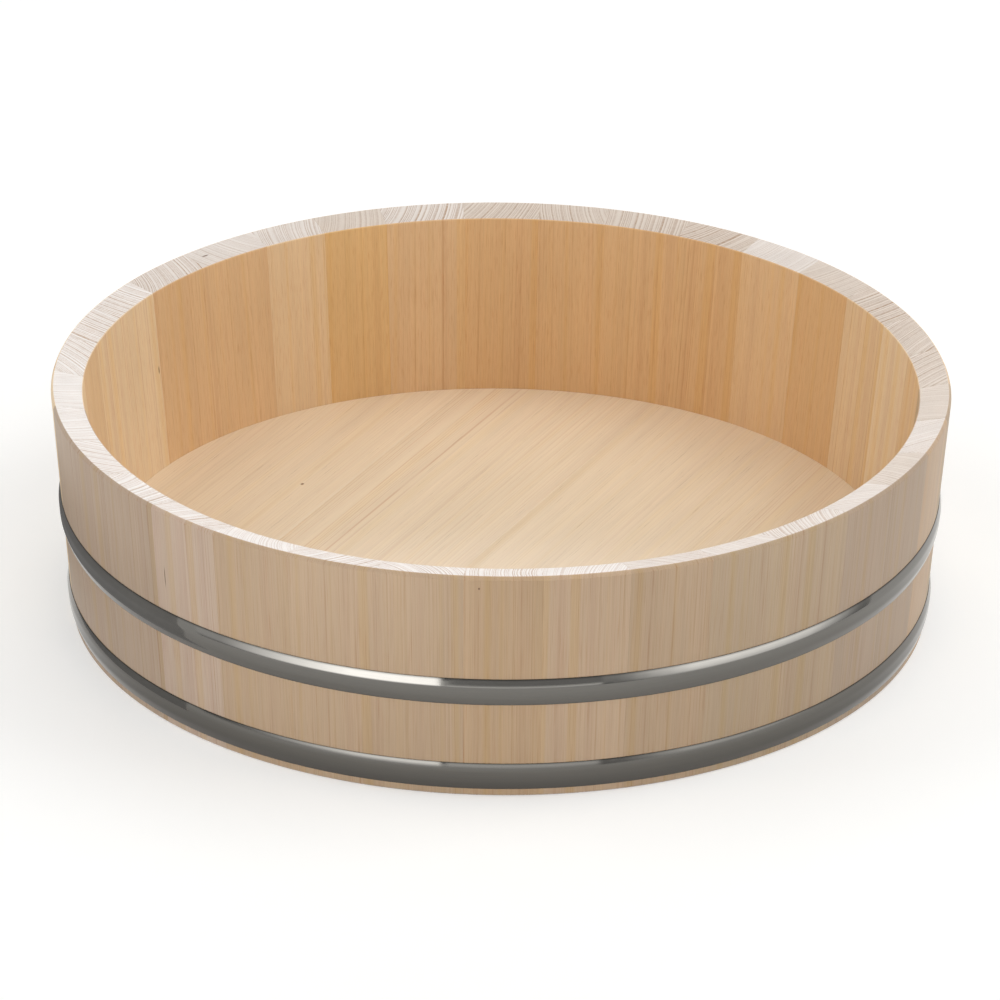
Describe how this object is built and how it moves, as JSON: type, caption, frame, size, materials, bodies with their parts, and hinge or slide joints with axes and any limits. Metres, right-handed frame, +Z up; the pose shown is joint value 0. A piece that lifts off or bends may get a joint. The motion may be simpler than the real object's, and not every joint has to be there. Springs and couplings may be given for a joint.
{
  "type": "wooden sushi rice tub",
  "caption": "Shallow round wooden tub of upright staves with a flat plank floor and two metal hoops, for cooling and dressing sushi rice.",
  "frame": {"origin": "centre of the foot ring, on the surface that the tub stands on", "axes": "+Z up along the tub's axis, through the open mouth; X and Y lie in the plane of the foot, and the picture looks along +Y"},
  "size_m": [0.4796, 0.4796, 0.1289],
  "materials": {
    "stave_wood": "planed bare cypress",
    "floor_wood": "planed bare cypress",
    "hoop_steel": "rolled and polished",
    "pin_bamboo": "whittled bamboo"
  },
  "bodies": {
    "root": {"stave_01": "stave_wood", "stave_02": "stave_wood", "stave_03": "stave_wood", "stave_04": "stave_wood", "stave_05": "stave_wood", "stave_06": "stave_wood", "stave_07": "stave_wood", "stave_08": "stave_wood", "stave_09": "stave_wood", "stave_10": "stave_wood", "stave_11": "stave_wood", "stave_12": "stave_wood", "stave_13": "stave_wood", "stave_14": "stave_wood", "stave_15": "stave_wood", "stave_16": "stave_wood", "stave_17": "stave_wood", "stave_18": "stave_wood", "stave_19": "stave_wood", "stave_20": "stave_wood", "stave_21": "stave_wood", "stave_22": "stave_wood", "stave_23": "stave_wood", "stave_24": "stave_wood", "stave_25": "stave_wood", "stave_26": "stave_wood", "stave_27": "stave_wood", "stave_28": "stave_wood", "stave_29": "stave_wood", "stave_30": "stave_wood", "stave_31": "stave_wood", "stave_32": "stave_wood", "stave_33": "stave_wood", "stave_34": "stave_wood", "floor_board_1": "floor_wood", "floor_board_2": "floor_wood", "floor_board_3": "floor_wood", "floor_board_4": "floor_wood", "lower_hoop": "hoop_steel", "upper_hoop": "hoop_steel", "stave_pins": "pin_bamboo", "floor_pins": "pin_bamboo"}
  },
  "joints": []
}
